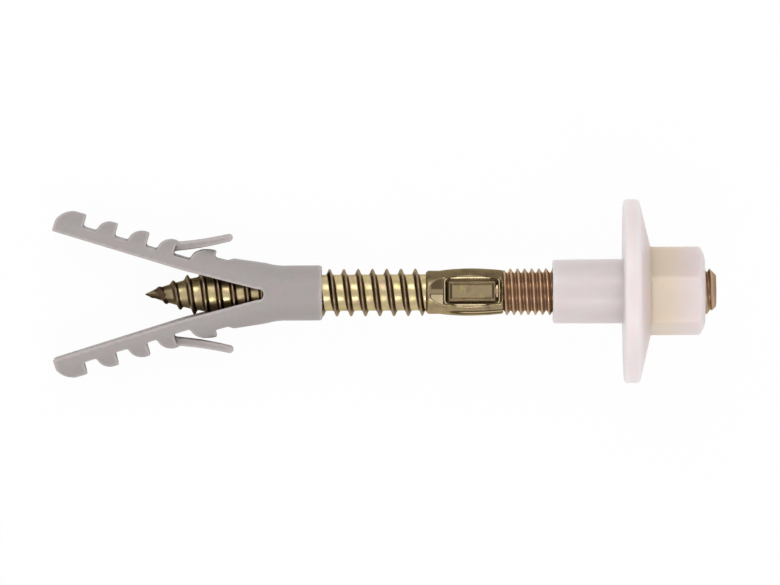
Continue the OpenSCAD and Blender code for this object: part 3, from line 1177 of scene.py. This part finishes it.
    def paleness(self, u: float, r: float) -> float:
        """How milky the nut looks: about 0 at the hexagon's thick root, 0.5 on the sleeve, 1 on the flange.

        Args:
            u: Station along the bolt.
            r: Distance from the axis.

        Returns:
            The paleness.
        """
        mouth = ease(self.sleeve_end + self.mouth_reach, self.sleeve_end, u)
        flange = ease(self.seat - self.flange_reach, self.seat, u)
        pale = mix(self.pale_sleeve + self.pale_mouth * mouth, 1.0, flange)
        root = ease(self.rim_back + self.root[0], self.hex_start + self.root[1], u)
        root *= ease(self.cone_top_r + self.root_spread, self.cone_top_r, r)
        start, end = self.hex_start + self.pale_hex_reach[0], self.end + self.pale_hex_reach[1]
        return mix(pale, mix(*self.pale_hex, ease(start, end, u)), root)

    def skin(self) -> Skin:
        """Draws the whole nut as one closed surface.

        Returns:
            The surface.
        """
        skin = Skin()
        angles = [math.tau * i / self.around for i in range(self.around + 1)]
        rows = []
        for ring in self.rings():
            spots = [(*ring(angle), angle) for angle in angles]
            rows.append([skin.polar(u, r, angle, self.paleness(u, r)) for u, r, angle in spots])
        skin.grid([*rows, rows[0]])
        return skin

    def dress(self, axis: BoltAxis, finish: bpy.types.Material) -> list[bpy.types.Object]:
        """Builds the nut in place of the frame's plain one.

        Args:
            axis: Where the bolt lies.
            finish: Its nylon.

        Returns:
            The pieces.
        """
        piece = self.skin().build("nut_moulding", axis, finish, self.crease)
        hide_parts("collar_nut")
        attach(piece, "nut")
        return [piece]


# ---- Expansion plug ----


@dataclass(frozen=True)
class ExpansionPlug:
    """Grey nylon plug with two spread, toothed legs; its edges are softened as a mould leaves them."""

    mouth: float = 37.4
    merge: float = 1e-3
    voxel: float = 0.24
    soften_share: float = 0.5
    soften_rounds: int = 3
    corner_spread: int = 3
    corner_gain: float = 6.0
    flat_relief: float = 0.5

    def moulding(self, node: bpy.types.Object) -> bpy.types.Object:
        """Copies the frame's plug and softens every edge of the copy.

        Args:
            node: The frame's plug.

        Returns:
            The softened copy.
        """
        mesh = node.data.copy()
        piece = bpy.data.objects.new("plug_moulding", mesh)
        bpy.context.scene.collection.objects.link(piece)
        soup = bmesh.new()
        soup.from_mesh(mesh)
        bmesh.ops.remove_doubles(soup, verts=soup.verts, dist=self.merge * MM)
        soup.to_mesh(mesh)
        soup.free()
        remesh = piece.modifiers.new("skin", "REMESH")
        remesh.mode = "VOXEL"
        remesh.voxel_size = self.voxel * MM
        remesh.use_smooth_shade = True
        soften = piece.modifiers.new("soften", "CORRECTIVE_SMOOTH")
        soften.factor = self.soften_share
        soften.iterations = self.soften_rounds
        soften.use_only_smooth = True
        graph = bpy.context.evaluated_depsgraph_get()
        shaped = bpy.data.meshes.new_from_object(piece.evaluated_get(graph))
        piece.modifiers.clear()
        piece.data = shaped
        bpy.data.meshes.remove(mesh)
        shaped.shade_smooth()
        self.mark_corners(shaped)
        return piece

    def mark_corners(self, mesh: bpy.types.Mesh) -> None:
        """Writes each corner's relief, lower in an inner corner and higher on an outer edge, which the nylon
        turns into painted shade and highlight.

        Args:
            mesh: The softened plug.
        """
        soup = bmesh.new()
        soup.from_mesh(mesh)
        soup.verts.ensure_lookup_table()
        rings = [[edge.other_vert(vert) for edge in vert.link_edges] for vert in soup.verts]
        relief = []
        for vert, ring in zip(soup.verts, rings):
            middle = sum((other.co for other in ring), Vector()) / len(ring)
            relief.append((vert.co - middle).dot(vert.normal) / (self.voxel * MM))
        for _ in range(self.corner_spread):
            relief = [
                (relief[k] + sum(relief[other.index] for other in ring)) / (1 + len(ring))
                for k, ring in enumerate(rings)
            ]
        soup.free()
        layer = mesh.attributes.new(RELIEF, "FLOAT", "POINT")
        layer.data.foreach_set("value", [self.flat_relief + self.corner_gain * value for value in relief])

    def dress(self, node: bpy.types.Object, finish: bpy.types.Material) -> list[bpy.types.Object]:
        """Builds the plug in place of the frame's plain one.

        Args:
            node: The frame's plug.
            finish: Its nylon.

        Returns:
            The pieces.
        """
        piece = self.moulding(node)
        piece.data.materials.clear()
        piece.data.materials.append(finish)
        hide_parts("expansion_plug")
        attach(piece, "plug")
        return [piece]


# ---- Studio ----


@dataclass(frozen=True)
class Softbox:
    """One white lamp that faces the part, with its place and size in metres."""

    name: str
    spot: Corner
    size: Pair
    watts: float


@dataclass(frozen=True)
class Look:
    """A plain shader: its node and its grey level."""

    kind: str
    level: float


def two_looks(tree: bpy.types.NodeTree, output: str, lit: Look, shown: Look, share: float = 1.0) -> None:
    """Wires what lights the part with one look and shows another to the camera and in reflections.

    Args:
        tree: Node tree of the material or the world.
        output: Its output node.
        lit: The look that lights the part.
        shown: The look that is shown.
        share: Share of the shown look, with the rest from the lit one.
    """
    tree.nodes.clear()
    wire = Wiring(tree)
    both = wire.node("ShaderNodeMixShader")
    wire.join(wire.maths("MULTIPLY", wire.seen(), share), both.inputs["Fac"])
    for look, into in ((lit, both.inputs[1]), (shown, both.inputs[2])):
        shader = wire.node(look.kind)
        wire.feed((look.level,) * 3, shader.inputs["Color"])
        wire.join(shader.outputs[0], into)
    wire.join(both.outputs[0], wire.node(output).inputs["Surface"])


@dataclass(frozen=True)
class Studio:
    """White table, soft lamps overhead and a distant camera square to the bolt, a little to its upper side.

    The aim and the distance are bolt millimetres, the lean is in degrees, the roll in radians, and the table
    and the lamps are in metres.
    """

    aim_u: float = 51.45
    aim_v: float = 0.0
    distance: float = 2400.0
    lean: float = 3.0
    roll: float = 0.0056
    px_per_mm: float = 4.756
    picture_px: int = 780
    sensor: float = 36.0
    clip: Pair = (0.01, 20.0)
    floor_half: float = 3.0
    floor_looks: tuple[Look, Look] = (Look("ShaderNodeBsdfDiffuse", 0.9), Look("ShaderNodeEmission", 1.0))
    floor_glow: float = 0.96
    sky_looks: tuple[Look, Look] = (Look("ShaderNodeBackground", 0.72), Look("ShaderNodeBackground", 0.8))
    lamps: tuple[Softbox, ...] = (
        Softbox("lamp_key", (0.02, -0.42, 0.62), (0.5, 0.13), 1.2),
        Softbox("lamp_fill", (-0.15, 0.5, 0.6), (0.6, 0.35), 1.4),
    )

    def floor(self) -> None:
        """Lays the table that the part rests on, which takes shadows and looks white to the camera."""
        half = self.floor_half
        corners = [(-half, -half, 0), (half, -half, 0), (half, half, 0), (-half, half, 0)]
        mesh = bpy.data.meshes.new("table")
        mesh.from_pydata(corners, [], [(0, 1, 2, 3)])
        table = bpy.data.objects.new("table", mesh)
        bpy.context.scene.collection.objects.link(table)
        material = bpy.data.materials.new("table_white")
        material.use_nodes = True
        two_looks(material.node_tree, "ShaderNodeOutputMaterial", *self.floor_looks, self.floor_glow)
        mesh.materials.append(material)

    def world(self) -> None:
        """Lights the room evenly, a little brighter where the camera or a reflection sees past the table."""
        world = bpy.data.worlds.new("room")
        bpy.context.scene.world = world
        world.use_nodes = True
        two_looks(world.node_tree, "ShaderNodeOutputWorld", *self.sky_looks)

    def light(self) -> None:
        """Hangs the lamps, each facing the part."""
        for lamp in self.lamps:
            data = bpy.data.lights.new(lamp.name, "AREA")
            data.shape = "RECTANGLE"
            data.size, data.size_y = lamp.size
            data.energy = lamp.watts
            hung = bpy.data.objects.new(lamp.name, data)
            hung.location = lamp.spot
            hung.rotation_euler = (-Vector(lamp.spot)).to_track_quat("-Z", "Y").to_euler()
            bpy.context.scene.collection.objects.link(hung)

    def camera(self, axis: BoltAxis) -> None:
        """Sets the camera square to the bolt, far away.

        Args:
            axis: Where the bolt lies.
        """
        data = bpy.data.cameras.new("camera")
        data.sensor_width = self.sensor
        data.lens = self.px_per_mm * self.distance / self.picture_px * data.sensor_width
        data.clip_start, data.clip_end = self.clip
        camera = bpy.data.objects.new("camera", data)
        lean = math.radians(self.lean)
        along, side, over = (axis.place.to_3x3().col[k].normalized() for k in range(3))
        across = side * math.cos(lean) - over * math.sin(lean)
        back = side * math.sin(lean) + over * math.cos(lean)
        right = along * math.cos(self.roll) - across * math.sin(self.roll)
        up = along * math.sin(self.roll) + across * math.cos(self.roll)
        camera.rotation_euler = Matrix((right, up, back)).transposed().to_euler()
        camera.location = axis.spot((self.aim_u, self.aim_v, 0.0)) + back * self.distance * MM
        bpy.context.scene.collection.objects.link(camera)
        bpy.context.scene.camera = camera

    def set_up(self, axis: BoltAxis) -> None:
        """Makes the whole studio.

        Args:
            axis: Where the bolt lies.
        """
        self.floor()
        self.world()
        self.light()
        self.camera(axis)
        bpy.context.scene.view_settings.view_transform = "Standard"


def main() -> None:
    """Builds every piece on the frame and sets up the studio."""
    logging.basicConfig(level=logging.INFO, format="%(name)s: %(message)s")
    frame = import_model()
    plug = ExpansionPlug()
    axis = BoltAxis.from_joint(frame["joints"], plug.mouth)
    groups = Groups(mottle_group(), grain_group())
    pieces = [
        *HangerBolt().dress(axis, groups),
        *plug.dress(frame["nodes"]["expansion_plug"], GreyNylon().material(groups)),
        *CollarNut().dress(axis, MilkyNylon().material(groups)),
    ]
    for piece in pieces:
        LOG.info("%s: %d faces", piece.name, len(piece.data.polygons))
    Studio().set_up(axis)


if __name__ == "__main__":
    main()
